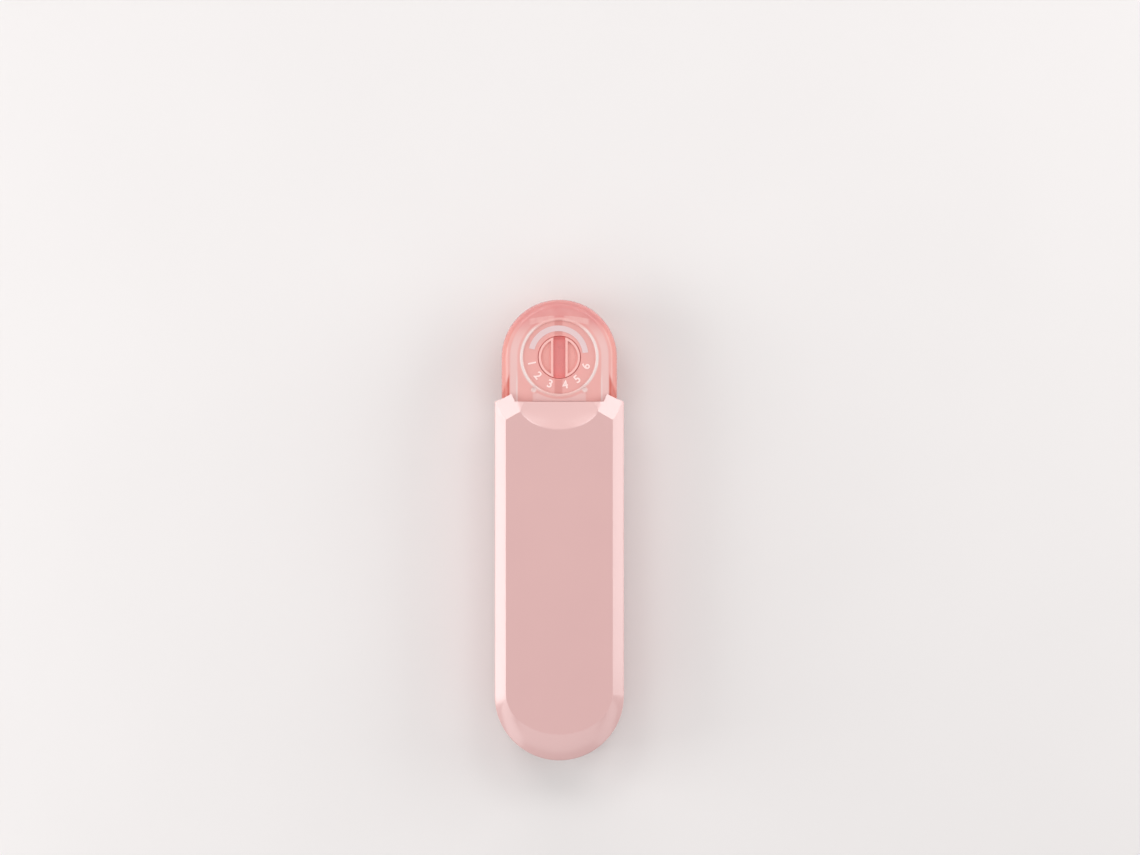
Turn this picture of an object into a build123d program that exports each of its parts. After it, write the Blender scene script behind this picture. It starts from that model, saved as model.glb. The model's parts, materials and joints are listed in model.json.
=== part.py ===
from build123d import *
import os
from math import acos, atan2, cos, degrees, hypot, pi, radians, sin, sqrt, tan

# Push-pull correction tape roller, in millimetres.
# It lies on its back: +Z is the front face, +Y the translucent head, -Y the end the tip comes out of.
# The origin is at the middle of the length and width, on the back face.

# ---------------------------------------------------------------- driving dimensions
# Spans that reach past the whole roller, for cutting right across or right through it
WIDE = (-20.0, 20.0)
LONG = (-60.0, 60.0)
DEEP = (-5.0, 30.0)

LENGTH = 82.0
WIDTH = 23.0
THICKNESS = 14.8
MID_Z = THICKNESS / 2

TRAVEL = 14.0                 # how far the carriage slides to bring the tip out
SLIDE_GAP = 0.15              # clearance all round between sleeve and carriage
FIT = 0.02                    # clearance between pressed or seated pieces of one body
SEAT = 0.01                   # gap left where two flat faces rest on each other
RUNNING = 0.06                # radial clearance of a gear on its post
BITE = 0.1                    # how far a form runs into the one it grows from

# Sleeve
SLEEVE_WALL = 1.05            # side and end wall
SLEEVE_FACE = 1.4             # front and rear wall
MOUTH_Y = 22.8
OVERRUN = 4.0                 # how far the sleeve's forms run past the mouth before it is cut
SHOULDER_RISE = 1.4           # how far the mouth rises beside the carriage's flat face
SHOULDER_SAG = 0.42           # share of that rise left half way to the side wall
SHOULDER_X = 8.5
MOUTH_CORNER_X = 7.9
SHOULDER_TILT = 16            # slope of the face at the shoulders, degrees
CREASE_FROM = (9.1, 19.8)     # crease where that slope starts, on the +X side
CREASE_TO = (7.0, 21.0)
BEYOND_MOUTH = MOUTH_Y + 3 * OVERRUN
BEVEL_FLAT = radians(24)      # tilt of the bevel where it leaves the plateau in a crease
BEVEL_STEEP = radians(44)     # tilt of the bevel above the rounding of the side wall
EDGE_ROUND = 0.35             # that rounding
SIDE_INSET = 2.0              # plateau edge to side wall
END_INSET = 4.7               # plateau edge to nose
NOSE_CENTRE_SHIFT = 0.5
NOSE_Y = -LENGTH / 2 + WIDTH / 2

SCOOP_HALF_WIDTH = 7.4
SCOOP_LENGTH = 5.0
SCOOP_DEPTH = 0.85
SCOOP_RISE = 2.0              # height of the dish's centre above the face

WINDOW_HALF_X = 4.05          # the opening in the nose for the tip
WINDOW_HALF_Z = 4.85
WINDOW_ROUND = 1.2

LAP_RADIUS = WIDTH / 2 - SLEEVE_WALL / 2    # stepped joint between the two shells
LAP_HEIGHT = 0.6
SEAM_WIDTH = 0.12             # witness groove where two shells meet
SEAM_DEPTH = 0.1
LIP = 0.2                     # rounding of the mouth's outer edge

STOP_HALF_WIDTH = 1.3         # block on the tray that runs in a channel of the rear shell
STOP_HEIGHT = 0.65
STOP_Y = (12.0, 15.0)
STOP_PLAY = (0.2, 0.05)       # beside it, and at its ends and tip
DETENT_Y = (22.6, 23.9)       # ridge on the cover that clicks over the mouth
DETENT_HALF_WIDTH = 4.7
DETENT_GROOVE = 0.25          # depth of the groove that the ridge drops into with the tip out
DETENT_PLAY = (0.4, 0.8)      # beside the ridge and above it

# Carriage
CARRIAGE_HALF_WIDTH = WIDTH / 2 - SLEEVE_WALL - SLIDE_GAP
CARRIAGE_BACK = SLEEVE_FACE + SLIDE_GAP
CARRIAGE_FRONT = THICKNESS - CARRIAGE_BACK
CARRIAGE_WALL = 1.0
FACE_HALF_WIDTH = 8.84
CARRIAGE_EDGE_DROP = 2.2
TAIL_GAP = 0.35               # left between carriage and nose with the tip out
FLOOR_Z = CARRIAGE_BACK + CARRIAGE_WALL
CEILING_Z = CARRIAGE_FRONT - CARRIAGE_WALL
SPLIT_Z = 10.9                # parting plane of tray and cover
HEAD_Y = LENGTH / 2 - CARRIAGE_HALF_WIDTH
TAIL_Y = NOSE_Y + TRAVEL + TAIL_GAP
INNER_RADIUS = CARRIAGE_HALF_WIDTH - CARRIAGE_WALL

CARRIAGE_LAP_RADIUS = INNER_RADIUS + CARRIAGE_WALL / 2    # stepped joint of tray and cover
CARRIAGE_LAP_DEPTH = 0.7

NECK_HALF_X = 3.8
NECK_HALF_Z = 4.6
NECK_WALL = 0.8
NECK_ROUND = 1.1
NECK_END_Y = -33.0

# Cover
RIB_Z = (SPLIT_Z + BITE, CEILING_Z + 3 * BITE)
RIB_INNER = 7.45              # inner edge of the rib that follows the head
RIB_END_Y = 0.7               # how far down the sides that rib runs
SHORT_RIB_X = (0.9, 5.2)       # the two short ribs above the dial
SHORT_RIB_Y = (HEAD_Y + 6.3, HEAD_Y + 7.4)
RIDGE_SLOT_X = (0.35, 3.9)    # the two slots that let the ridge give
RIDGE_SLOT_WIDTH = 0.35
SINK_RADIUS = 0.7             # sink marks over the two upper pins
SINK_RISE = 0.5
DIAL_RADIUS = 6.65
DIAL_DEPTH = 0.3
BEAD_RADIUS = 0.3             # section of the bead round the dial
PROUD = 0.08                  # how far bead and ridge stand out of the carriage's face

# Tip
TIP_ROOT_Y = -27.5            # how far the tip reaches back into the neck
TIP_END_Y = -38.0
BLADE_SHOULDER_Y = -31.5      # where the blade starts to thin
BLADE_HALF = 0.8              # half its thickness there
BLADE_EDGE_RADIUS = 0.25
GUARD_OUTER = 3.75            # from the middle of the tape to the outside of a side guard
GUARD_GAP = 0.2               # between the tape's edge and a guard
GUARD_SEAT = 0.3              # how far a guard stands out of the neck before it narrows
GUARD_NOSE = (0.95, 1.1, 0.65)    # half width, and how far its corners and its end stay back

# Gears
MODULE = 0.4
SUPPLY_TEETH = 40
IDLER_TEETH = 19
TAKEUP_TEETH = 18
ROOT_DEPTH = 1.2              # of a tooth below its pitch line, in modules
BACKLASH = 0.05
PRESSURE_ANGLE = radians(20)
GEAR_Z = (FLOOR_Z + BITE, 4.05)
IDLER_Z = (FLOOR_Z + BITE, 3.75)

# Tape and reels
TAPE_WIDTH = 5.0
TAPE_Z = (MID_Z - TAPE_WIDTH / 2, MID_Z + TAPE_WIDTH / 2)
RUN_THICKNESS = 0.1
COIL_GAP = 0.1                # between a tape run and its coil
BLADE_GAP = 0.07              # between the tape and the blade's edge
GUIDE_GAP = 0.03              # between the carrier and a guide post
TAPE_BEND = 3.0               # bend of the tape at the blade's shoulder
FLANGE_THICKNESS = 0.5
TOP_FLANGE_THICKNESS = 0.4
FLANGE_GAP = 0.1              # between the tape's edge and a flange
CORE_Z = (TAPE_Z[0] - FLANGE_GAP, TAPE_Z[1] + FLANGE_GAP)
SPOOL_Z = CORE_Z[0] - FLANGE_THICKNESS
TOP_FLANGE_Z = (CORE_Z[1], CORE_Z[1] + TOP_FLANGE_THICKNESS)
SUPPLY_CORE_RADIUS = 3.0
SUPPLY_COIL_RADIUS = 8.5
SUPPLY_FLANGE_RADIUS = 8.75
TAKEUP_CORE_RADIUS = 4.0
TAKEUP_COIL_RADIUS = 4.25
TAKEUP_FLANGE_RADIUS = 6.4
DRIVE_RADIUS = 2.4            # six-sided drive of the take-up gear, across its corners
DRIVE_TOP = 8.4
PLUG_RADIUS = 2.2             # plug of the slotted hub in the take-up core
PLUG_BOTTOM = DRIVE_TOP + 0.3
HUB_RADIUS = 3.7
HUB_GAP = 0.15                # round the hub in the cover
HUB_COLLAR = 0.4
HUB_SLOT = 2.1
HUB_RIM = 0.45                # rim and slot walls left standing round the hub's two pockets
HUB_POCKET = 0.3
SLOT_DEPTH = 1.3
HUB_TUBE_RADIUS = 2.3         # tube of the supply gear that the clutch is stacked on
FRICTION_RADIUS = 5.0
SPRING_RADIUS = 3.9
SPRING_SHEET = 0.15
CAP_RADIUS = 3.6
CAP_Z = (10.85, 11.4)
WEB_HOLES = (6, 6.1, 0.85)    # supply gear: how many, on what radius, of what radius
FLANGE_HOLES = (5, 5.9, 1.3)  # supply top flange, likewise
IDLER_WASHER_RADIUS = 1.9
IDLER_WASHER_Z = (3.78, 4.1)

# Shaft centres: the idler sits where both meshes close
TAKEUP_AT = (0.0, HEAD_Y)
SUPPLY_AT = (-0.35, HEAD_Y - 19.0)


def direction(a, b):
    """Heading from a to b, in degrees."""
    return degrees(atan2(b[1] - a[1], b[0] - a[0]))


def mesh_distance(teeth_a, teeth_b):
    return MODULE * (teeth_a + teeth_b) / 2


def closing_point(a, radius_a, b, radius_b):
    """Point on the +X side at radius_a from a and radius_b from b."""
    dx, dy = b[0] - a[0], b[1] - a[1]
    span = hypot(dx, dy)
    along = (radius_a ** 2 - radius_b ** 2 + span ** 2) / (2 * span)
    aside = sqrt(radius_a ** 2 - along ** 2)
    return (a[0] + along * dx / span - aside * dy / span,
            a[1] + along * dy / span + aside * dx / span)


IDLER_AT = closing_point(TAKEUP_AT, mesh_distance(TAKEUP_TEETH, IDLER_TEETH),
                         SUPPLY_AT, mesh_distance(SUPPLY_TEETH, IDLER_TEETH))

# Posts moulded on the tray floor
POST_ROOT = 0.5               # how far a post runs down into the floor
SUPPLY_POST_RADIUS = 1.4
SUPPLY_POST_TOP = 12.0
TAKEUP_POST_RADIUS = 1.2
IDLER_POST_RADIUS = 1.0
IDLER_POST_TOP = 4.15
GUIDES = [(8.0, 1.7), (8.0, 21.7)]
GUIDE_RADIUS = 0.6
GUIDE_TOP = SPLIT_Z - 0.4

# The cover's bosses, the pins under the lower two, and its socket over the supply post
UPPER_BOSSES = [(4.55, 24.9), (-4.55, 24.9)]
PINNED_BOSSES = [(6.6, -16.5), (-6.6, -16.5)]
BOSS_RADIUS = 0.95
PIN_RADIUS = 0.55
PIN_BOTTOM = 7.0
PIN_SOCKET_RADIUS = 1.3
PIN_SOCKET_TOP = 9.0
STEADY_RADIUS = 2.2
STEADY_BOTTOM = 11.5
STEADY_GAP = 0.05


# ---------------------------------------------------------------- plain shapes
def disc(radius, z_low, z_high, at=(0, 0)):
    return Pos(at[0], at[1], (z_low + z_high) / 2) * Cylinder(radius, z_high - z_low)


def ring(outer, inner, z_low, z_high, at=(0, 0)):
    return disc(outer, z_low, z_high, at) - disc(inner, z_low - 1, z_high + 1, at)


def bore(radius, at):
    """Round hole right through."""
    return disc(radius, *DEEP, at)


def block(x, y, z):
    """Box between the (low, high) pairs x, y and z."""
    centre = Pos((x[0] + x[1]) / 2, (y[0] + y[1]) / 2, (z[0] + z[1]) / 2)
    return centre * Box(x[1] - x[0], y[1] - y[0], z[1] - z[0])


def block_pair(x, y, z):
    """The same box on both sides of the middle; x is its span on the +X side."""
    return block(x, y, z) + block((-x[1], -x[0]), y, z)


def slab(z_low, z_high):
    """Everything between two heights."""
    return block(WIDE, LONG, (z_low, z_high))


def round_holes(holes, at, start=0):
    """Holes spaced evenly round a centre; holes gives how many, on what radius, of what radius."""
    count, spread, radius = holes
    spots = PolarLocations(spread, count, start)
    return [Pos(*at) * spot * Cylinder(radius, DEEP[1]) for spot in spots]


def prism(edges, z_low, z_high):
    """Solid between two heights over a closed outline drawn in plan."""
    return Pos(0, 0, z_low) * extrude(make_face(edges), z_high - z_low)


def capsule(radius, y_low, y_high, z_low, z_high):
    """Straight-sided slot shape with its round ends centred at y_low and y_high."""
    middle = block((-radius, radius), (y_low, y_high), (z_low, z_high))
    return middle + disc(radius, z_low, z_high, (0, y_low)) + disc(radius, z_low, z_high, (0, y_high))


def rounded_capsule(radius, y_low, y_high, z_low, z_high, inset, drop):
    """Capsule whose upper and lower edges are elliptical roundings inset wide and drop high."""
    flat = radius - inset
    half = Curve() + [
        Line((0, z_low), (flat, z_low)),
        EllipticalCenterArc((flat, z_low + drop), inset, drop, 270, arc_size=90),
        Line((radius, z_low + drop), (radius, z_high - drop)),
        EllipticalCenterArc((flat, z_high - drop), inset, drop, 0, arc_size=90),
        Line((flat, z_high), (0, z_high)),
        Line((0, z_high), (0, z_low)),
    ]
    profile = Plane.XZ * make_face(half)
    upper = Pos(0, y_high, 0) * revolve(profile, Axis.Z, 180)
    lower = Pos(0, y_low, 0) * revolve(profile, Axis.Z, -180)
    both = profile + mirror(profile, Plane.YZ)
    middle = Pos(0, y_high, 0) * extrude(both, y_high - y_low)
    return upper + middle + lower


# ---------------------------------------------------------------- sleeve
def sleeve_outline(inset_share, top_y):
    """Plan outline of the sleeve at one height of its bevel."""
    half = WIDTH / 2 - SIDE_INSET * inset_share
    centre_y = NOSE_Y + NOSE_CENTRE_SHIFT * inset_share
    reach = WIDTH / 2 - (END_INSET - NOSE_CENTRE_SHIFT) * inset_share
    return make_face(Curve() + [
        EllipticalCenterArc((0, centre_y), half, reach, 180, arc_size=180),
        Line((half, centre_y), (half, top_y)),
        Line((half, top_y), (-half, top_y)),
        Line((-half, top_y), (-half, centre_y)),
    ])


def arc_steps(steep, flat, radius, start, steps=3):
    """(inset, rise) pairs along an arc in the sleeve's edge whose tilt eases from steep to flat."""
    tilts = [steep + (flat - steep) * step / steps for step in range(steps + 1)]
    return [(start[0] + radius * (sin(steep) - sin(tilt)), start[1] + radius * (cos(tilt) - cos(steep)))
            for tilt in tilts]


def sleeve_body():
    """Outside form of the sleeve, still solid and longer than the mouth."""
    top_y = MOUTH_Y + OVERRUN
    rounding = arc_steps(pi / 2, BEVEL_STEEP, EDGE_ROUND, (0, 0))
    bevel_radius = (SIDE_INSET - rounding[-1][0]) / (sin(BEVEL_STEEP) - sin(BEVEL_FLAT))
    bevel = arc_steps(BEVEL_STEEP, BEVEL_FLAT, bevel_radius, rounding[-1])
    half_wall = MID_Z - bevel[-1][1]
    body = Pos(0, 0, MID_Z - half_wall) * extrude(sleeve_outline(0, top_y), 2 * half_wall)
    for steps in (rounding, bevel):
        edge = loft([Pos(0, 0, MID_Z + half_wall + rise) * sleeve_outline(inset / SIDE_INSET, top_y)
                     for inset, rise in steps])
        body += edge + mirror(edge, Plane.XY.offset(MID_Z))
    return body


def mouth_cutter():
    """Everything beyond the mouth line, with its two raised shoulders."""
    peak_y = MOUTH_Y + SHOULDER_RISE
    side = WIDTH / 2
    beyond_x, beyond_y = side + 1, MOUTH_Y + 2 * OVERRUN
    edges = Curve()
    for s in (-1, 1):
        edges += Line((s * MOUTH_CORNER_X, MOUTH_Y), (s * SHOULDER_X, peak_y))
        edges += ThreePointArc((s * SHOULDER_X, peak_y),
                               (s * (SHOULDER_X + side) / 2, MOUTH_Y + SHOULDER_SAG * SHOULDER_RISE),
                               (s * side, MOUTH_Y))
        edges += Line((s * side, MOUTH_Y), (s * beyond_x, MOUTH_Y))
        edges += Line((s * beyond_x, MOUTH_Y), (s * beyond_x, beyond_y))
    edges += Line((-MOUTH_CORNER_X, MOUTH_Y), (MOUTH_CORNER_X, MOUTH_Y))
    edges += Line((-beyond_x, beyond_y), (beyond_x, beyond_y))
    return prism(edges, *DEEP)


def scoop_cutter():
    """Shallow dish for the thumb: part of an ellipsoid that dips into the front face."""
    half_depth = SCOOP_RISE + SCOOP_DEPTH
    shrink = sqrt(1 - (SCOOP_RISE / half_depth) ** 2)
    dish = scale(Sphere(1), by=(SCOOP_HALF_WIDTH / shrink, SCOOP_LENGTH / shrink, half_depth))
    return Pos(0, MOUTH_Y, THICKNESS + SCOOP_RISE) * dish


def shoulder_cutter(side):
    """Slopes the face down towards the mouth at one shoulder, beyond a slanting crease."""
    start, end = (side * CREASE_FROM[0], CREASE_FROM[1]), (side * CREASE_TO[0], CREASE_TO[1])
    slope = Pos(*start, THICKNESS) * Rot(0, 0, direction(start, end)) * Rot(side * SHOULDER_TILT, 0, 0)
    reach, height = SCOOP_LENGTH * 2, THICKNESS / 2
    return slope * Pos(0, -side * reach / 2, height / 2) * Box(WIDTH, reach, height)


def sleeve_hollow():
    """Space for the carriage, open at the mouth, with the tip window in the nose."""
    radius = CARRIAGE_HALF_WIDTH + SLIDE_GAP
    room = rounded_capsule(radius, NOSE_Y, BEYOND_MOUTH, SLEEVE_FACE, THICKNESS - SLEEVE_FACE,
                           CARRIAGE_HALF_WIDTH - FACE_HALF_WIDTH, CARRIAGE_EDGE_DROP)
    window = block((-WINDOW_HALF_X, WINDOW_HALF_X), (NOSE_Y - WIDTH, NOSE_Y),
                   (MID_Z - WINDOW_HALF_Z, MID_Z + WINDOW_HALF_Z))
    window = fillet(window.edges().filter_by(Axis.Y), WINDOW_ROUND)
    return room + window


def lap_zone(radius, z_low, z_high):
    """Band inside the given radius, used for the stepped joint between the two shells."""
    return capsule(radius, NOSE_Y, BEYOND_MOUTH, z_low, z_high)


def seam_groove(radius, y_low, y_high, z_low):
    """Shallow groove round a capsule, cut where one shell meets the other."""
    return slab(z_low, z_low + SEAM_WIDTH) - capsule(radius - SEAM_DEPTH, y_low, y_high, *DEEP)


def make_sleeve():
    shell = sleeve_body() - sleeve_hollow() - mouth_cutter()
    upper_half = slab(MID_Z, DEEP[1])
    lap = shell & lap_zone(LAP_RADIUS, MID_Z, MID_Z + LAP_HEIGHT)
    rebate = lap_zone(LAP_RADIUS + FIT, MID_Z - LAP_HEIGHT, MID_Z + LAP_HEIGHT + FIT)
    front = (shell & upper_half) - rebate - seam_groove(WIDTH / 2, NOSE_Y, BEYOND_MOUTH, MID_Z)
    rear = (shell - upper_half) + lap

    front -= scoop_cutter()
    for side in (-1, 1):
        front -= shoulder_cutter(side)
    half = DETENT_HALF_WIDTH + DETENT_PLAY[0]
    groove_y = (DETENT_Y[0] - TRAVEL, DETENT_Y[1] - TRAVEL + DETENT_PLAY[1])
    front -= block((-half, half), groove_y, (MID_Z, THICKNESS - SLEEVE_FACE + DETENT_GROOVE))

    lip = front.edges().filter_by_position(Axis.Y, MOUTH_Y - FIT, MOUTH_Y + FIT)
    lip = lip.filter_by_position(Axis.Z, THICKNESS - SCOOP_DEPTH - BITE, THICKNESS)
    front = fillet([edge for edge in lip if edge.length > SCOOP_LENGTH], LIP)

    half = STOP_HALF_WIDTH + STOP_PLAY[0]
    channel_y = (STOP_Y[0] - TRAVEL - STOP_PLAY[1], STOP_Y[1] + STOP_PLAY[1])
    rear -= block((-half, half), channel_y, (SLEEVE_FACE - STOP_HEIGHT - STOP_PLAY[1], MID_Z))
    return front, rear


# ---------------------------------------------------------------- carriage
def carriage_form():
    """Outside form of the carriage: capsule body with the neck for the tip."""
    body = rounded_capsule(CARRIAGE_HALF_WIDTH, TAIL_Y, HEAD_Y, CARRIAGE_BACK, CARRIAGE_FRONT,
                           CARRIAGE_HALF_WIDTH - FACE_HALF_WIDTH, CARRIAGE_EDGE_DROP)
    neck = block((-NECK_HALF_X, NECK_HALF_X), (NECK_END_Y, TAIL_Y),
                 (MID_Z - NECK_HALF_Z, MID_Z + NECK_HALF_Z))
    neck = fillet(neck.edges().filter_by(Axis.Y), NECK_ROUND)
    return body + neck


def carriage_hollow():
    room = capsule(INNER_RADIUS, TAIL_Y, HEAD_Y, FLOOR_Z, CEILING_Z)
    passage = block((-NECK_HALF_X + NECK_WALL, NECK_HALF_X - NECK_WALL), (NECK_END_Y - 1, TAIL_Y),
                    (MID_Z - NECK_HALF_Z + NECK_WALL, MID_Z + NECK_HALF_Z - NECK_WALL))
    return room + passage


def make_tray(shell):
    tray = shell - slab(SPLIT_Z, DEEP[1])
    lap_bottom = SPLIT_Z - CARRIAGE_LAP_DEPTH - FIT
    tray -= capsule(CARRIAGE_LAP_RADIUS + FIT, TAIL_Y, HEAD_Y, lap_bottom, DEEP[1])
    foot = FLOOR_Z - POST_ROOT
    tray += disc(SUPPLY_POST_RADIUS, foot, SUPPLY_POST_TOP, SUPPLY_AT)
    tray += disc(TAKEUP_POST_RADIUS, foot, DRIVE_TOP, TAKEUP_AT)
    tray += disc(IDLER_POST_RADIUS, foot, IDLER_POST_TOP, IDLER_AT)
    for guide in GUIDES:
        tray += disc(GUIDE_RADIUS, foot, GUIDE_TOP, guide)
    for boss in PINNED_BOSSES:
        tray += ring(PIN_SOCKET_RADIUS, PIN_RADIUS + FIT, FLOOR_Z - SEAT, PIN_SOCKET_TOP, boss)
    stop_z = (CARRIAGE_BACK - STOP_HEIGHT, FLOOR_Z - POST_ROOT)
    tray += block((-STOP_HALF_WIDTH, STOP_HALF_WIDTH), STOP_Y, stop_z)
    return tray


def head_rib():
    """Rib under the cover that follows the edge of the flat face round the head."""
    outer = capsule(FACE_HALF_WIDTH, RIB_END_Y, HEAD_Y, *RIB_Z)
    inner = capsule(RIB_INNER, RIB_END_Y - FACE_HALF_WIDTH, HEAD_Y, *DEEP)
    return outer - inner - block(WIDE, (LONG[0], RIB_END_Y), DEEP)


def dial_bead():
    """Rounded bead along the rim of the dial recess."""
    height = CARRIAGE_FRONT + PROUD - BEAD_RADIUS
    return Pos(*TAKEUP_AT, height) * Torus(DIAL_RADIUS + BITE, BEAD_RADIUS)


def detent_ridge():
    """Ridge that clicks over the mouth; its upper edge follows the bead."""
    y = (DETENT_Y[0] + BEAD_RADIUS, DETENT_Y[1] + 2 * BEAD_RADIUS)
    z = (CARRIAGE_FRONT - 2 * BITE, CARRIAGE_FRONT + PROUD)
    ridge = block((-DETENT_HALF_WIDTH, DETENT_HALF_WIDTH), y, z)
    return ridge - bore(DIAL_RADIUS + 2 * BEAD_RADIUS, TAKEUP_AT)


def cover_ribs():
    """Everything that stands under the cover's ceiling."""
    ribs = head_rib() + block_pair(SHORT_RIB_X, SHORT_RIB_Y, RIB_Z)
    backing_y = (DETENT_Y[0] + 2 * BITE, DETENT_Y[1] - BITE)
    ribs += block((-DETENT_HALF_WIDTH, DETENT_HALF_WIDTH), backing_y, RIB_Z)
    ribs += ring(HUB_RADIUS + HUB_GAP + HUB_COLLAR, HUB_RADIUS + HUB_GAP, *RIB_Z, TAKEUP_AT)
    for boss in UPPER_BOSSES + PINNED_BOSSES:
        ribs += disc(BOSS_RADIUS, *RIB_Z, boss)
    for boss in PINNED_BOSSES:
        ribs += disc(PIN_RADIUS, PIN_BOTTOM, RIB_Z[0] + BITE, boss)
    steady = ring(STEADY_RADIUS, SUPPLY_POST_RADIUS + STEADY_GAP, STEADY_BOTTOM, RIB_Z[1], SUPPLY_AT)
    return ribs + steady


def make_cover(shell):
    cover = shell - slab(DEEP[0], SPLIT_Z)
    tongue = capsule(CARRIAGE_LAP_RADIUS, TAIL_Y, HEAD_Y, SPLIT_Z - CARRIAGE_LAP_DEPTH, SPLIT_Z + 3 * BITE)
    tongue -= capsule(INNER_RADIUS, TAIL_Y, HEAD_Y, *DEEP)
    tongue -= block((-NECK_HALF_X, NECK_HALF_X), (LONG[0], TAIL_Y), DEEP)
    cover -= seam_groove(CARRIAGE_HALF_WIDTH, TAIL_Y, HEAD_Y, SPLIT_Z)
    cover += tongue
    cover += cover_ribs()
    cover -= disc(DIAL_RADIUS, CARRIAGE_FRONT - DIAL_DEPTH, DEEP[1], TAKEUP_AT)
    cover -= bore(HUB_RADIUS + HUB_GAP, TAKEUP_AT)
    cover -= block_pair(RIDGE_SLOT_X, (DETENT_Y[0] - RIDGE_SLOT_WIDTH, DETENT_Y[0]), DEEP)
    cover += detent_ridge()
    cover += dial_bead()
    for boss in UPPER_BOSSES:
        cover -= Pos(*boss, CARRIAGE_FRONT + SINK_RISE) * Sphere(SINK_RADIUS)
    return cover


def make_tip():
    """Thin blade between two side guards, plugged into the neck."""
    edge, edge_y = BLADE_EDGE_RADIUS, TIP_END_Y + BLADE_EDGE_RADIUS
    blade_edges = Curve() + [
        Polyline((-edge, edge_y), (-BLADE_HALF, BLADE_SHOULDER_Y), (-BLADE_HALF, TIP_ROOT_Y),
                 (BLADE_HALF, TIP_ROOT_Y), (BLADE_HALF, BLADE_SHOULDER_Y), (edge, edge_y)),
        ThreePointArc((edge, edge_y), (0, TIP_END_Y), (-edge, edge_y)),
    ]
    nose_x, nose_y, end_y = GUARD_NOSE[0], TIP_END_Y + GUARD_NOSE[1], TIP_END_Y + GUARD_NOSE[2]
    reach = NECK_HALF_X - NECK_WALL - FIT
    seat_y = NECK_END_Y - GUARD_SEAT
    guard_edges = Curve() + [
        Polyline((-nose_x, nose_y), (-reach, seat_y), (-reach, TIP_ROOT_Y),
                 (reach, TIP_ROOT_Y), (reach, seat_y), (nose_x, nose_y)),
        ThreePointArc((nose_x, nose_y), (0, end_y), (-nose_x, nose_y)),
    ]
    guard_inner = TAPE_WIDTH / 2 + GUARD_GAP
    tip = prism(blade_edges, MID_Z - guard_inner - BITE, MID_Z + guard_inner + BITE)
    tip += prism(guard_edges, MID_Z + guard_inner, MID_Z + GUARD_OUTER)
    tip += prism(guard_edges, MID_Z - GUARD_OUTER, MID_Z - guard_inner)
    return tip


# ---------------------------------------------------------------- gears
def involute_angle(radius, base):
    """Polar angle swept by an involute from its base circle to the given radius."""
    if radius <= base:
        return 0.0
    roll = acos(base / radius)
    return tan(roll) - roll


def gear(teeth, z, at, tooth_at):
    """Spur gear with involute flanks and one tooth centred on the angle tooth_at, in degrees."""
    pitch = MODULE * teeth / 2
    base = pitch * cos(PRESSURE_ANGLE)
    tip, root = pitch + MODULE, pitch - ROOT_DEPTH * MODULE
    half_tooth = (pi * MODULE / 2 - BACKLASH) / 2 / pitch + involute_angle(pitch, base)
    outline = []
    for tooth in range(teeth):
        centre = radians(tooth_at) + 2 * pi * tooth / teeth
        flank = [(r, half_tooth - involute_angle(r, base)) for r in (root, pitch, tip)]
        for r, off in flank:
            outline.append((r * cos(centre - off), r * sin(centre - off)))
        for r, off in reversed(flank):
            outline.append((r * cos(centre + off), r * sin(centre + off)))
    face = make_face(Polyline(outline, close=True))
    return Pos(at[0], at[1], z[0]) * extrude(face, z[1] - z[0])


def meshing_angle(teeth_a, tooth_a, teeth_b, heading):
    """Tooth angle of gear b so that it meshes with gear a along heading, the direction from a to b."""
    step = 360 / teeth_a
    offset = (tooth_a - heading + step / 2) % step - step / 2
    return heading + 180 - offset * teeth_a / teeth_b + 180 / teeth_b


SUPPLY_TOOTH = direction(SUPPLY_AT, IDLER_AT)
IDLER_TOOTH = meshing_angle(SUPPLY_TEETH, SUPPLY_TOOTH, IDLER_TEETH, direction(SUPPLY_AT, IDLER_AT))
TAKEUP_TOOTH = meshing_angle(IDLER_TEETH, IDLER_TOOTH, TAKEUP_TEETH, direction(IDLER_AT, TAKEUP_AT))


def make_supply_gear():
    """Large gear with the hub tube that the supply spool turns on; its web is cut by round holes."""
    wheel = gear(SUPPLY_TEETH, GEAR_Z, SUPPLY_AT, SUPPLY_TOOTH)
    wheel -= round_holes(WEB_HOLES, SUPPLY_AT)
    wheel += disc(HUB_TUBE_RADIUS, GEAR_Z[1] - BITE, CAP_Z[1], SUPPLY_AT)
    return wheel - bore(SUPPLY_POST_RADIUS + RUNNING, SUPPLY_AT)


def make_supply_spool():
    spool = disc(SUPPLY_FLANGE_RADIUS, SPOOL_Z, CORE_Z[0], SUPPLY_AT)
    spool += disc(SUPPLY_CORE_RADIUS, CORE_Z[0] - BITE, CORE_Z[1] - FIT, SUPPLY_AT)
    return spool - bore(HUB_TUBE_RADIUS + RUNNING, SUPPLY_AT)


def make_supply_top_flange():
    flange = ring(SUPPLY_FLANGE_RADIUS, HUB_TUBE_RADIUS + RUNNING, *TOP_FLANGE_Z, SUPPLY_AT)
    return flange - round_holes(FLANGE_HOLES, SUPPLY_AT, start=90)


def make_spring_washer():
    """Conical spring washer between the top flange and the cap."""
    low, high = TOP_FLANGE_Z[1] + FIT, CAP_Z[0] - FIT
    inner, outer = HUB_TUBE_RADIUS + RUNNING, SPRING_RADIUS
    outline = Polyline((inner, high - SPRING_SHEET), (inner, high), (outer, low + SPRING_SHEET),
                       (outer, low), close=True)
    return Pos(*SUPPLY_AT) * revolve(Plane.XZ * make_face(outline), Axis.Z)


def make_idler_gear():
    wheel = gear(IDLER_TEETH, IDLER_Z, IDLER_AT, IDLER_TOOTH)
    return wheel - bore(IDLER_POST_RADIUS + RUNNING, IDLER_AT)


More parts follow.
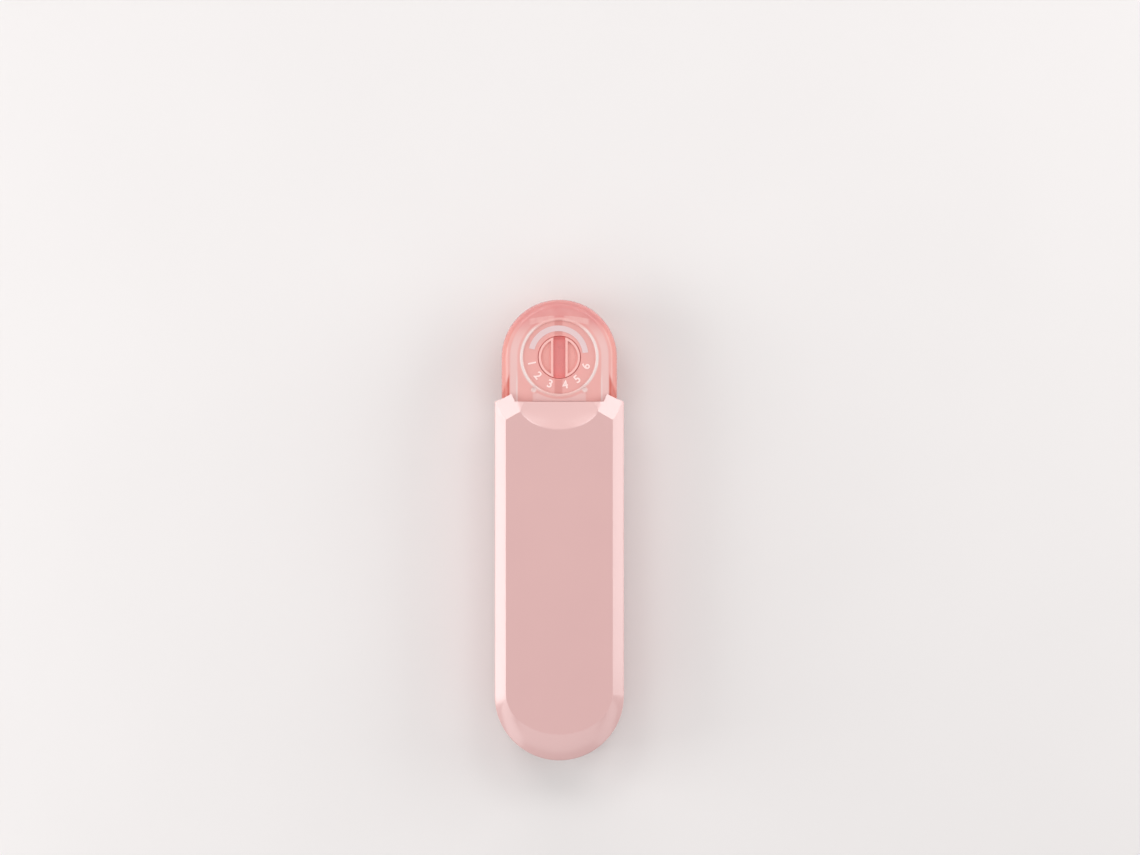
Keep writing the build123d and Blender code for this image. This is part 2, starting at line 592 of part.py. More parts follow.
def make_takeup_gear():
    """Small gear with the six-sided drive for the take-up core."""
    wheel = gear(TAKEUP_TEETH, GEAR_Z, TAKEUP_AT, TAKEUP_TOOTH)
    foot = GEAR_Z[1] - BITE
    wheel += Pos(*TAKEUP_AT, foot) * extrude(RegularPolygon(DRIVE_RADIUS, 6), DRIVE_TOP - foot)
    return wheel - bore(TAKEUP_POST_RADIUS + RUNNING, TAKEUP_AT)


def make_takeup_spool():
    spool = disc(TAKEUP_FLANGE_RADIUS, SPOOL_Z, CORE_Z[0], TAKEUP_AT)
    spool += disc(TAKEUP_CORE_RADIUS, CORE_Z[0] - BITE, CORE_Z[1] - FIT, TAKEUP_AT)
    foot, top = SPOOL_Z - 1, DRIVE_TOP + 2 * BITE
    spool -= Pos(*TAKEUP_AT, foot) * extrude(RegularPolygon(DRIVE_RADIUS + FIT, 6), top - foot)
    return spool - disc(PLUG_RADIUS + FIT, top - BITE, DEEP[1], TAKEUP_AT)


def make_takeup_top_flange():
    """Flange with the plug that enters the core and the slotted hub that shows in the dial."""
    hub_top = CARRIAGE_FRONT - DIAL_DEPTH
    flange = disc(TAKEUP_FLANGE_RADIUS, *TOP_FLANGE_Z, TAKEUP_AT)
    flange += disc(PLUG_RADIUS, PLUG_BOTTOM, TOP_FLANGE_Z[0] + BITE, TAKEUP_AT)
    flange += disc(HUB_RADIUS, TOP_FLANGE_Z[0], hub_top, TAKEUP_AT)
    half = HUB_SLOT / 2
    pockets = disc(HUB_RADIUS - HUB_RIM, hub_top - HUB_POCKET, DEEP[1], TAKEUP_AT)
    pockets -= block((-half - HUB_RIM, half + HUB_RIM), LONG, DEEP)
    return flange - pockets - block((-half, half), LONG, (hub_top - SLOT_DEPTH, DEEP[1]))


# ---------------------------------------------------------------- tape
def ribbon(path):
    """Tape standing on edge along a path in plan."""
    return Pos(0, 0, TAPE_Z[0]) * extrude(trace(path, RUN_THICKNESS), TAPE_WIDTH)


def tangent_point(centre, radius, point, side):
    """Where a line from the point touches a circle; side is +1 or -1."""
    dx, dy = point[0] - centre[0], point[1] - centre[1]
    away = hypot(dx, dy)
    angle = atan2(dy, dx) + side * acos(radius / away)
    return (centre[0] + radius * cos(angle), centre[1] + radius * sin(angle))


TURN_RADIUS = BLADE_EDGE_RADIUS + BLADE_GAP + RUN_THICKNESS / 2
TURN_Y = TIP_END_Y + BLADE_EDGE_RADIUS
SHOULDER_AT = (BLADE_HALF + 2 * RUN_THICKNESS, BLADE_SHOULDER_Y)


def make_feed_run():
    """From the left of the supply coil down the blade and round its edge."""
    shoulder = (-SHOULDER_AT[0], SHOULDER_AT[1])
    start = tangent_point(SUPPLY_AT, SUPPLY_COIL_RADIUS + COIL_GAP, shoulder, -1)
    straight = FilletPolyline(start, shoulder, (-TURN_RADIUS, TURN_Y), radius=TAPE_BEND)
    turn = CenterArc((0, TURN_Y), TURN_RADIUS, 180, 180)
    return ribbon(Curve() + [*straight.edges(), turn])


def make_return_run():
    """From the blade's edge, past both guide posts, to the right of the take-up coil."""
    clear = GUIDE_RADIUS + RUN_THICKNESS / 2 + GUIDE_GAP
    run_x = GUIDES[0][0] + clear
    low_turn = atan2(run_x - SHOULDER_AT[0], GUIDES[0][1] - SHOULDER_AT[1])
    end = tangent_point(TAKEUP_AT, TAKEUP_COIL_RADIUS + COIL_GAP, (run_x, GUIDES[1][1]), 1)
    high_turn = atan2(run_x - end[0], end[1] - GUIDES[1][1])
    low = (run_x, GUIDES[0][1] - clear * tan(low_turn / 2))
    high = (run_x, GUIDES[1][1] + clear * tan(high_turn / 2))
    start = (TURN_RADIUS, TURN_Y + FIT)
    return ribbon(FilletPolyline(start, SHOULDER_AT, low, high, end, radius=[TAPE_BEND, clear, clear]))


# ---------------------------------------------------------------- write the pieces
carriage_shell = carriage_form() - carriage_hollow()
front_shell, rear_shell = make_sleeve()

pieces = {
    "sleeve_front_shell": front_shell,
    "sleeve_rear_shell": rear_shell,
    "carriage_tray": make_tray(carriage_shell),
    "carriage_cover": make_cover(carriage_shell),
    "applicator_tip": make_tip(),
    "supply_gear": make_supply_gear(),
    "clutch_friction_washer": ring(FRICTION_RADIUS, HUB_TUBE_RADIUS + RUNNING,
                                   GEAR_Z[1] + SEAT, SPOOL_Z - SEAT, SUPPLY_AT),
    "supply_spool": make_supply_spool(),
    "correction_tape_coil": ring(SUPPLY_COIL_RADIUS, SUPPLY_CORE_RADIUS + FIT, *TAPE_Z, SUPPLY_AT),
    "supply_top_flange": make_supply_top_flange(),
    "clutch_spring_washer": make_spring_washer(),
    "clutch_cap": ring(CAP_RADIUS, HUB_TUBE_RADIUS + FIT, *CAP_Z, SUPPLY_AT),
    "idler_gear": make_idler_gear(),
    "idler_washer": ring(IDLER_WASHER_RADIUS, IDLER_POST_RADIUS + FIT, *IDLER_WASHER_Z, IDLER_AT),
    "takeup_gear": make_takeup_gear(),
    "takeup_spool": make_takeup_spool(),
    "takeup_top_flange": make_takeup_top_flange(),
    "carrier_coil": ring(TAKEUP_COIL_RADIUS, TAKEUP_CORE_RADIUS + FIT, *TAPE_Z, TAKEUP_AT),
    "feed_tape_run": make_feed_run(),
    "return_carrier_run": make_return_run(),
}

os.makedirs("parts", exist_ok=True)
for name, piece in pieces.items():
    export_step(piece, f"parts/{name}.step")
    print(f"{name}: {len(piece.solids())} solid, {piece.volume:.2f} mm3")
print("idler at", IDLER_AT)
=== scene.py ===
# %% [markdown]
# # Push-pull correction tape roller
# The real thing is a pastel sleeve round a sliding, translucent body that holds two reels, three gears
# and a blade tip. The shapes that move or fit come ready made and stay as they are. This lesson gives
# them their finishes, adds the printed arc and the raised numbers of the dial, and lights the whole on a
# pale table.

# %% Load the ready-made pieces
import json
import math

import bpy
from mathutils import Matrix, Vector


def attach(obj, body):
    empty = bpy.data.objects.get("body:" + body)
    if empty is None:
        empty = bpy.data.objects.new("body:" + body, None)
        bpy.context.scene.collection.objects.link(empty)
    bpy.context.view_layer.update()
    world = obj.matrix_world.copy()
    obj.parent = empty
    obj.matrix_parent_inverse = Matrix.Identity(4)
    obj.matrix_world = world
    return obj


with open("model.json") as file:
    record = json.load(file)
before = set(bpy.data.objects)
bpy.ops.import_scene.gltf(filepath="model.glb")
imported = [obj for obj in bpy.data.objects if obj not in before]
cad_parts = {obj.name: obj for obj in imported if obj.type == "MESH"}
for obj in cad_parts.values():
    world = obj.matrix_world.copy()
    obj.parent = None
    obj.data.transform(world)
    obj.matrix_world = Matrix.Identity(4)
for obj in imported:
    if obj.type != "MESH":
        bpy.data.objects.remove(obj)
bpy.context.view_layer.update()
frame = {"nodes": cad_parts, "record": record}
MM = 0.001

# %% [markdown]
# ## Camera
# The roller lies on its back and is seen from straight above, as in a product picture. A long lens far
# away keeps its sides parallel. The view is wider than the roller, which sits left of and below the
# middle, so the camera looks down beside the roller's own centre.

# %% Camera
LENS_MM = 135
SENSOR_MM = 36
VIEW_WIDTH = 203.6 * MM
AIM = (1.9 * MM, 18.2 * MM)
AIM_HEIGHT = 10 * MM
FAR_CLIP = 10


def add_camera():
    data = bpy.data.cameras.new("table_camera")
    data.lens = LENS_MM
    data.sensor_width = SENSOR_MM
    data.clip_end = FAR_CLIP
    camera = bpy.data.objects.new("table_camera", data)
    distance = VIEW_WIDTH * LENS_MM / SENSOR_MM
    camera.location = (*AIM, AIM_HEIGHT + distance)
    bpy.context.scene.collection.objects.link(camera)
    bpy.context.scene.camera = camera
    print("camera stands", round(distance, 3), "m above the roller")


add_camera()
bpy.context.scene.view_settings.view_transform = "Standard"

# %% [markdown]
# ## Shader arithmetic
# A finish is a small formula. It could be wired by hand in the node editor, but a formula is easier to
# read and to change. The class below wraps one output of a shader node, so that a formula can be written
# with plus and times, and each operator adds the Math node that it needs.

# %% One output of a node, with arithmetic
class Wire:
    """An output socket that can be added, multiplied and compared."""

    def __init__(self, finish, socket):
        self.finish = finish
        self.socket = socket

    def maths(self, operation, *others):
        inputs = {0: self}
        for index, other in enumerate(others):
            inputs[index + 1] = other
        return self.finish.node("ShaderNodeMath", inputs, operation=operation)

    def __add__(self, other):
        return self.maths("ADD", other)

    def __mul__(self, other):
        return self.maths("MULTIPLY", other)

    def __sub__(self, other):
        return self.maths("SUBTRACT", other)

    def __rsub__(self, other):
        return (self * -1) + other

    def root(self):
        return self.maths("SQRT")

    def size(self):
        return self.maths("ABSOLUTE")

    def larger(self, other):
        return self.maths("MAXIMUM", other)

    def rise(self, low, high):
        """Smooth step: 0 up to low, 1 from high on."""
        inputs = {"Value": self, "From Min": low, "From Max": high}
        return self.finish.node("ShaderNodeMapRange", inputs, interpolation_type="SMOOTHSTEP")

    def within(self, low, high, soft):
        """Smooth band: 1 between low and high, 0 outside, with edges of the given softness."""
        return self.rise(low - soft, low + soft) - self.rise(high - soft, high + soft)

    __radd__ = __add__
    __rmul__ = __mul__


print("a wire knows plus, minus, times, root, size, larger, rise and within")

# %% [markdown]
# ## One finish, one material
# Every material starts as one Principled shader. What is the same all over the piece is typed into the
# shader's own sockets. What changes over the surface comes in by wire, and is worked out from the piece's
# own coordinates, so that it stays in place when the piece moves.

# %% A finish: one material and its nodes
GRAIN_DEPTH = 0.02 * MM


class Finish:
    """A material that is built from one Principled shader and the wires that vary it."""

    def __init__(self, name, **constants):
        self.material = bpy.data.materials.new(name)
        self.material.use_nodes = True
        self.tree = self.material.node_tree
        self.shader = self.tree.nodes["Principled BSDF"]
        for socket, value in constants.items():
            label = socket.replace("_", " ").title().replace("Ior", "IOR")
            self.shader.inputs[label].default_value = value

    def node(self, kind, inputs=None, output=0, **settings):
        node = self.tree.nodes.new(kind)
        for key, value in settings.items():
            setattr(node, key, value)
        for key, value in (inputs or {}).items():
            if isinstance(value, Wire):
                self.tree.links.new(value.socket, node.inputs[key])
            else:
                node.inputs[key].default_value = value
        return Wire(self, node.outputs[output])

    def place(self):
        return self.node("ShaderNodeTexCoord", output="Object")

    def axis(self, letter):
        return self.node("ShaderNodeSeparateXYZ", {0: self.place()}, output=letter)

    def away_from(self, x, y):
        """Distance in plan from a point, in metres."""
        across, along = self.axis("X") - x, self.axis("Y") - y
        return (across * across + along * along).root()

    def noise(self, scale, detail=3.0):
        return self.node("ShaderNodeTexNoise", {"Vector": self.place(), "Scale": scale, "Detail": detail})

    def mix(self, factor, first, second):
        """Blend of two colours; the mix node's colour sockets are numbers 6 and 7."""
        return self.node("ShaderNodeMix", {0: factor, 6: first, 7: second}, output=2, data_type="RGBA")

    def feed(self, socket, wire):
        self.tree.links.new(wire.socket, self.shader.inputs[socket])

    def grain(self, scale, strength):
        """Fine texture of the mould: it tilts the light on the surface and leaves the shape alone."""
        inputs = {"Height": self.noise(scale), "Strength": strength, "Distance": GRAIN_DEPTH}
        self.feed("Normal", self.node("ShaderNodeBump", inputs))


def linear(red, green, blue, alpha=1.0):
    """A screen colour, 0 to 255, as the linear values that shaders use."""
    def one(value):
        share = value / 255
        return share / 12.92 if share <= 0.04045 else ((share + 0.055) / 1.055) ** 2.4
    return (one(red), one(green), one(blue), alpha)


print("a mid grey on the screen is", round(linear(128, 128, 128)[0], 3), "to a shader")

# %% [markdown]
# ## Where the dial and the mouth are
# The ready-made pieces already say where things are. The dial's centre is the take-up shaft, and its
# floor is level with the top of the slotted hub. The sleeve's mouth is a little short of its two raised
# shoulders. So these places are read from the frame and not typed again.

# %% Places read from the frame
SHOULDER_RISE = 1.4 * MM

JOINTS = {joint["name"]: joint for joint in frame["record"]["behaviour"]["joints"]}
DIAL_X, DIAL_Y, _ = JOINTS["takeup_spin"]["pos_m"]
HUB = frame["nodes"]["takeup_top_flange"]
DIAL_FLOOR = max(vertex.co.z for vertex in HUB.data.vertices)
SLEEVE = frame["nodes"]["sleeve_front_shell"]
MOUTH_LINE = max(vertex.co.y for vertex in SLEEVE.data.vertices) - SHOULDER_RISE
PLACES = {"dial across": DIAL_X, "dial along": DIAL_Y, "dial floor": DIAL_FLOOR, "mouth": MOUTH_LINE}
print("places in mm:", {place: round(value / MM, 2) for place, value in PLACES.items()})

# %% [markdown]
# ## Sleeve plastic
# The sleeve is opaque pastel plastic from a fine-grained mould, with a faint unevenness of colour and a
# very shallow orange-peel. A clear coat stands for its polished skin, which is what picks up the soft boxes
# along the bevels. The thumb scoop looks satin, so it is rougher and nearly without that coat. It is also
# painted a little paler, a painted highlight for the light that its tilted face catches. An ellipse round
# the middle of the mouth masks it.

# %% Sleeve plastic
SCOOP_HALF_WIDTH = 7.4 * MM
SCOOP_LENGTH = 5.0 * MM
SCOOP_EDGE = (0.93, 1.03)
SCOOP_HEIGHT = (13.5 * MM, 13.7 * MM)
POLISH = 0.34
SCOOP_ROUGHER = 0.2
SCOOP_COAT_LOSS = 0.85


def sleeve_finish():
    finish = Finish("sleeve_pastel_plastic", ior=1.5, coat_ior=1.8, coat_roughness=0.16)
    across = finish.axis("X") * (1 / SCOOP_HALF_WIDTH)
    along = (finish.axis("Y") - MOUTH_LINE) * (1 / SCOOP_LENGTH)
    scoop = 1 - (across * across + along * along).root().rise(*SCOOP_EDGE)
    scoop = scoop * finish.axis("Z").rise(*SCOOP_HEIGHT)
    colour = finish.mix(finish.noise(90.0, 2.0), linear(225, 179, 176), linear(221, 175, 173))
    # the scoop's paler colour is a painted highlight
    finish.feed("Base Color", finish.mix(scoop, colour, linear(232, 189, 186)))
    finish.feed("Roughness", finish.noise(400.0) * 0.08 + scoop * SCOOP_ROUGHER + POLISH)
    finish.feed("Coat Weight", 1 - scoop * SCOOP_COAT_LOSS)
    finish.grain(2600.0, 0.04)
    return finish.material


FINISHES = {"sleeve_plastic": sleeve_finish()}
print("sleeve finish:", len(FINISHES["sleeve_plastic"].node_tree.nodes), "nodes")

# %% [markdown]
# ## Glow in the gap round the hub
# The carriage and the hub are moulded without white pigment, so light goes in at one place and comes out
# at another. The narrow gap between them would be black in a render, but on the real thing the resin on
# both sides passes light into it. A very small emission on its walls stands for that.

# %% Glow in the hub's gap
HUB_GAP = (3.66 * MM, 3.9 * MM)
HUB_GAP_SOFT = 0.03 * MM
GLOW_BOTTOM = 10.5 * MM
GLOW_BELOW_FLOOR = 0.05 * MM
GLOW_SOFT = 0.04 * MM
GAP_GLOW = (0.34, 0.12, 0.11, 1)
NO_GLOW = (0, 0, 0, 1)


def gap_glow(finish):
    """Light that the resin passes into the narrow gap round the hub, as a colour to emit."""
    gap = finish.away_from(DIAL_X, DIAL_Y).within(*HUB_GAP, HUB_GAP_SOFT)
    gap = gap * finish.axis("Z").within(GLOW_BOTTOM, DIAL_FLOOR - GLOW_BELOW_FLOOR, GLOW_SOFT)
    return finish.mix(gap, NO_GLOW, GAP_GLOW)


print("gap round the hub (mm):", [round(radius / MM, 2) for radius in HUB_GAP])

# %% [markdown]
# ## What shows through the cover
# Where a rib or a boss stands under the carriage's face there is more plastic to glow, and the part looks
# paler. Light scattered deep inside would do this by itself, but slowly and with much noise. Here each rib
# gets a soft mask, worked out from the distance to the dial's centre or to the middle line. The spine is
# that middle line with the dial's centre at its end, so one distance from it follows the round head.

# %% Lengths that the masks start from
SOFT = 0.18 * MM
FINE_SOFT = 0.1 * MM
FACE_HEIGHT = (10.8 * MM, 12.0 * MM)
SPINE_STEP = 0.01 * MM


class UnderCover:
    """Lengths over the carriage, in metres, and a mask of its front face."""

    def __init__(self, finish):
        self.across, self.along = finish.axis("X"), finish.axis("Y")
        self.side = self.across.size()
        self.face = finish.axis("Z").rise(*FACE_HEIGHT)
        self.from_dial = finish.away_from(DIAL_X, DIAL_Y)
        self.beyond = self.along.rise(DIAL_Y, DIAL_Y + SPINE_STEP)
        self.from_spine = self.side * (1 - self.beyond) + self.from_dial * self.beyond


print("masks soften over", round(2 * SOFT / MM, 2), "mm")

# %% [markdown]
# ## Masks along the outline
# The rib that follows the head is a pale band with a bright inner edge, and both fade out: the band at the
# crown, its edge on the way there. The band is partly that rib seen through the cover and partly a painted
# highlight along the head's rounded edge. The face ends in a thin painted highlight line on its rounded
# edge, above the side wall. Beside the mouth two leaf-shaped corners are painted deep coral, deepest at the
# mouth and fading away from it.

# %% Masks that follow the head
FRAME_AND_HIGHLIGHT_BAND = (7.45 * MM, 8.75 * MM)
FRAME_AND_HIGHLIGHT_FADE = (DIAL_Y + 1.5 * MM, DIAL_Y + 7 * MM)
FRAME_AND_HIGHLIGHT_LOSS = 0.9
RIB_EDGE_BAND = (7.42 * MM, 7.66 * MM)
RIB_EDGE_FADE = (26 * MM, 29 * MM)
EDGE_LINE = 9.25 * MM
FACE_EDGE_HIGHLIGHT_BAND = (9.15 * MM, 9.42 * MM)
LEAF_INNER = (8.75 * MM, 9.0 * MM)
LEAF_OUTER = (10.5 * MM, 11.1 * MM)
LEAF_SLOPE = 0.4


def outline_masks(under):
    fade = 1 - under.along.rise(*FRAME_AND_HIGHLIGHT_FADE) * FRAME_AND_HIGHLIGHT_LOSS
    rib_edge = under.from_spine.within(*RIB_EDGE_BAND, FINE_SOFT) * (1 - under.along.rise(*RIB_EDGE_FADE))
    leaf = 1 - (under.side + (under.along - MOUTH_LINE) * LEAF_SLOPE).rise(*LEAF_OUTER)
    corner = under.from_spine.rise(*LEAF_INNER) * leaf * (1 - under.beyond)
    return {
        # pale band: partly the rib seen through, partly a painted highlight along the rounded edge
        "frame": under.from_spine.within(*FRAME_AND_HIGHLIGHT_BAND, SOFT) * fade * under.face,
        "rib_edge": rib_edge * under.face,
        "edge": under.from_spine.rise(EDGE_LINE - 2 * SOFT, EDGE_LINE + 2 * SOFT),
        # thin painted highlight line on the face's rounded edge
        "wall_line": under.from_spine.within(*FACE_EDGE_HIGHLIGHT_BAND, FINE_SOFT) * under.face,
        # deep coral corners, deepest at the mouth and fading away from it
        "corner": corner * under.face,
    }


print("the head's rib lies", [round(inset / MM, 2) for inset in FRAME_AND_HIGHLIGHT_BAND], "mm from the spine")

# %% [markdown]
# ## Masks round the dial
# The bead round the dial is pale, and painted brighter at its two sides, a painted highlight where they
# face the side soft boxes; it is weak at the crown. Past the dial the crown is deeper and uneven, because
# the eye looks through the most plastic there. A deeper stripe on the dial's floor, in line with the hub's
# slot, is painted shade: the shade of the slot seen through the resin.

# %% Masks that follow the dial
RING_BAND = (6.5 * MM, 6.98 * MM)
RING_SIDE_HIGHLIGHT_SPAN = (2.6 * MM, 6.0 * MM)
RING_FADE = (DIAL_Y + 4.6 * MM, DIAL_Y + 6.2 * MM)
RING_LOSS = 0.75
TINT_RISE = (DIAL_Y + 3.4 * MM, DIAL_Y + 6.8 * MM)
TINT_OUTSIDE = (6.9 * MM, 7.2 * MM)
SLOT_SHADE_SHIFT = 0.15 * MM
SLOT_SHADE_EDGE = (0.5 * MM, 0.9 * MM)
SLOT_SHADE_BAND = (3.95 * MM, 6.75 * MM)


def dial_masks(finish, under):
    ring = under.from_dial.within(*RING_BAND, SOFT) * (1 - under.along.rise(*RING_FADE) * RING_LOSS)
    tint = under.along.rise(*TINT_RISE) * under.from_dial.rise(*TINT_OUTSIDE)
    # painted shade: the hub slot's shade seen through the resin
    stripe = 1 - (under.across + SLOT_SHADE_SHIFT).size().rise(*SLOT_SHADE_EDGE)
    return {
        "ring": ring * under.face,
        # painted highlight on the bead's two sides
        "ring_side": under.side.rise(*RING_SIDE_HIGHLIGHT_SPAN) * ring * under.face,
        "tint": tint * (finish.noise(500.0) * 0.7 + 0.5) * under.face,
        "stripe": stripe * under.from_dial.within(*SLOT_SHADE_BAND, SOFT) * under.face,
    }


print("the bead lies", [round(radius / MM, 2) for radius in RING_BAND], "mm from the dial's centre")

# %% [markdown]
# ## Masks for bar, pins with their highlights, and short ribs
# A pale bar crosses the carriage between dial and mouth, cut off by the dial's circle, and two pins stand
# at its ends. Each pin is a pale disc, partly the boss seen through and partly a painted highlight. Above
# the dial are two short ribs. They bend with the head, so half of the distance to the dial is added to the
# length along the roller. A noise breaks them up, as cloudy resin does.

# %% Masks of the small forms
BAR_HALF = 4.75 * MM
BAR_ALONG = (22.5 * MM, 24.3 * MM)
BAR_OUTSIDE = (7.3 * MM, 7.55 * MM)
PIN_PLACES = [(-4.55 * MM, 24.9 * MM), (4.55 * MM, 24.9 * MM)]
PIN_EDGE = (0.3 * MM, 0.62 * MM)
SHORT_RIB_ACROSS = (0.9 * MM, 5.2 * MM)
SHORT_RIB_ALONG = (DIAL_Y + 9.65 * MM, DIAL_Y + 11.1 * MM)
SHORT_RIB_BEND = 0.5


def small_masks(finish, under):
    bar = (1 - under.side.rise(BAR_HALF - SOFT, BAR_HALF + SOFT)) * under.along.within(*BAR_ALONG, SOFT)
    pins = sum((1 - finish.away_from(x, y).rise(*PIN_EDGE) for x, y in PIN_PLACES), 0.0)
    ribs = (under.along + under.from_dial * SHORT_RIB_BEND).within(*SHORT_RIB_ALONG, SOFT)
    ribs = under.side.within(*SHORT_RIB_ACROSS, 2 * SOFT) * ribs * (finish.noise(900.0) * 1.4)
    return {
        "bar": bar * under.from_dial.rise(*BAR_OUTSIDE) * under.face,
        # pins: partly the bosses, partly painted highlights
        "pins": pins * under.face,
        "short_ribs": ribs * under.face,
    }


print("pins masked:", len(PIN_PLACES))

# %% [markdown]
# ## Translucent peach plastic
# Glass-like transmission would show the gears inside as a sharp picture, and the real resin is milky. So
# the plastic is partly see-through by its alpha: it covers more over the broad faces, which have ribs
# behind them, than in the thin side walls. The colours are laid over each other like thin paint. Each
# layer has a mask, a strength and a colour, and the last one lies on top.

# %% Layers of the carriage's colour
# Some layers are painted light: the thin line at the face's edge, the bead's bright sides and the pins are
# painted highlights, the stripe in line with the hub's slot is painted shade, and the pale band round the
# head is partly a painted highlight.
LAYERS = [
    ("edge", 1.0, (247, 168, 159)),
    ("wall_line", 0.4, (255, 210, 203)),
    ("corner", 1.0, (226, 124, 112)),
    ("tint", 1.0, (237, 156, 154)),
    ("frame", 0.72, (255, 220, 217)),
    ("short_ribs", 0.8, (255, 206, 201)),
    ("bar", 0.8, (254, 210, 207)),
    ("rib_edge", 0.8, (255, 232, 229)),
    ("stripe", 0.9, (235, 162, 156)),
    ("ring", 1.0, (254, 208, 202)),
    ("ring_side", 1.0, (255, 240, 237)),
    ("pins", 1.0, (255, 226, 222)),
]
print("layers over the base colour:", len(LAYERS))

# %% Translucent peach plastic
MIDDLE_HEIGHT = 7.4 * MM
BROAD_FACE = (3.2 * MM, 5.0 * MM)
FACE_COVER = 0.76
WALL_COVER = 0.34


def carriage_finish():
    finish = Finish("carriage_peach_plastic", ior=1.46, coat_ior=1.5, coat_roughness=0.08,
                    emission_strength=1.0)
    under = UnderCover(finish)
    masks = {**outline_masks(under), **dial_masks(finish, under), **small_masks(finish, under)}
    colour = finish.mix(finish.noise(160.0, 2.0), linear(253, 192, 186), linear(250, 186, 180))
    for mask, strength, screen_colour in LAYERS:
        colour = finish.mix(masks[mask] * strength, colour, linear(*screen_colour))
    finish.feed("Base Color", colour)
    broad_face = (finish.axis("Z") - MIDDLE_HEIGHT).size().rise(*BROAD_FACE)
    finish.feed("Alpha", broad_face * (FACE_COVER - WALL_COVER) + WALL_COVER)
    finish.feed("Emission Color", gap_glow(finish))
    finish.feed("Coat Weight", masks["ring"] * 0.7 + 0.2)
    finish.feed("Roughness", finish.noise(700.0) * 0.05 + 0.12)
    finish.grain(1800.0, 0.03)
    return finish.material


FINISHES["carriage_plastic"] = carriage_finish()
print("carriage finish:", len(FINISHES["carriage_plastic"].node_tree.nodes), "nodes")

# %% [markdown]
# ## Coral hub
# The slotted hub is the same resin in a deeper tint. Its rim and the walls of its slot are thin edges,
# painted pale as highlights. The slot itself is where the colour is deepest. It glows in the gap as the
# carriage does.

# %% Coral hub plastic
SLOT_EDGE = (1.0 * MM, 1.1 * MM)
SLOT_WALL = (1.15 * MM, 1.5 * MM)
HUB_RIM = (3.3 * MM, 3.7 * MM)
HUB_SOFT = 0.08 * MM


def hub_finish():
    finish = Finish("takeup_coral_plastic", ior=1.46, coat_weight=0.5, coat_roughness=0.08,
                    emission_strength=1.0)
    side = (finish.axis("X") - DIAL_X).size()
    rim_highlight = finish.away_from(DIAL_X, DIAL_Y).within(*HUB_RIM, HUB_SOFT)
    slot_wall_highlight = side.within(*SLOT_WALL, HUB_SOFT)
    slot = 1 - side.rise(*SLOT_EDGE)
    colour = finish.mix(finish.noise(300.0), linear(240, 170, 163), linear(236, 164, 157))
    # rim and slot walls: painted highlights along the thin edges
    colour = finish.mix(slot_wall_highlight.larger(rim_highlight), colour, linear(248, 190, 184))
    colour = finish.mix(slot, colour, linear(244, 165, 163))
    finish.feed("Base Color", colour)
    finish.feed("Emission Color", gap_glow(finish))
    finish.feed("Roughness", finish.noise(900.0) * 0.06 + 0.25)
    return finish.material


FINISHES["takeup_plastic"] = hub_finish()
print("hub finish:", len(FINISHES["takeup_plastic"].node_tree.nodes), "nodes")

# %% [markdown]
# ## Plain finishes
# The inner pieces are natural plastic, film, rubber and spring steel. They differ only in colour,
# roughness and metal, so one function makes them all. Each blends two near colours, because moulded and
# rolled surfaces are never quite even.

# %% Plain inner finishes
def plain_finish(name, colour, second, roughness, **constants):
    finish = Finish(name, **constants)
    finish.feed("Base Color", finish.mix(finish.noise(300.0), linear(*colour), linear(*second)))
    finish.feed("Roughness", finish.noise(900.0) * 0.08 + roughness)
    finish.grain(2200.0, 0.05)
    return finish.material


PLAIN_FINISHES = [
    ("tip_plastic", (244, 238, 232), (240, 233, 226), 0.35),
    ("gear_plastic", (244, 232, 226), (240, 228, 222), 0.4),
    ("reel_plastic", (244, 236, 232), (240, 231, 227), 0.4),
    ("white_tape", (250, 250, 246), (245, 245, 241), 0.55),
    ("carrier_film", (238, 234, 226), (232, 228, 220), 0.2),
    ("friction_rubber", (66, 66, 68), (58, 58, 60), 0.6),
]
for slot_name, first, second, roughness in PLAIN_FINISHES:
    FINISHES[slot_name] = plain_finish(slot_name, first, second, roughness)
FINISHES["spring_steel"] = plain_finish("spring_steel", (190, 190, 192), (176, 176, 178), 0.3, metallic=1.0)
print("finishes made:", len(FINISHES))

# %% [markdown]
# ## Every piece gets its finish
# The part's own record says which material each piece is made of. Reading it there keeps the two in step.

# %% Give the finishes to the pieces
for row in frame["record"]["subparts"]:
    node = frame["nodes"][row["node"]]
    node.data.materials.clear()
    node.data.materials.append(FINISHES[row["material_slot"]])
print("finishes given to", len(frame["nodes"]), "pieces")

# %% [markdown]
# ## Two helpers for new pieces
# Blender's operators work on what is selected, so a piece is selected alone before each one. A finished
# piece sits at the origin with its place in its mesh, as the ready-made pieces do, and rides on the
# carriage, so that it moves along when the carriage slides.

# %% Select one object alone, and settle it
def only(piece):
    bpy.ops.object.select_all(action="DESELECT")
    piece.select_set(True)
    bpy.context.view_layer.objects.active = piece


def settle(piece, name, material):
    """Puts the object's place into its mesh, so that it sits at the origin, and finishes it."""
    only(piece)
    bpy.ops.object.transform_apply(location=True, rotation=True, scale=True)
    piece.name = name
    piece.data.name = name
    piece.data.materials.clear()
    piece.data.materials.append(material)
    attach(piece, "carriage")


print("helpers ready")

# %% [markdown]
# ## Arc on the dial
# A pale arc is printed over the upper half of the dial. It could be a picture on the plastic, but as a
# thin piece of its own it keeps a clean edge at any distance. It starts as a circle of edges, which is
# drawn out into a flat ring. The faces outside the arc's sweep are deleted, and Solidify gives the ink
# its thickness.

# %% The arc
ARC_INNER, ARC_OUTER = 4.35 * MM, 5.36 * MM
ARC_FROM, ARC_TO = math.radians(7), math.radians(165)
ARC_SHIFT = (-0.2 * MM, 0.3 * MM)
ARC_STEPS = 180
INK = 0.03 * MM


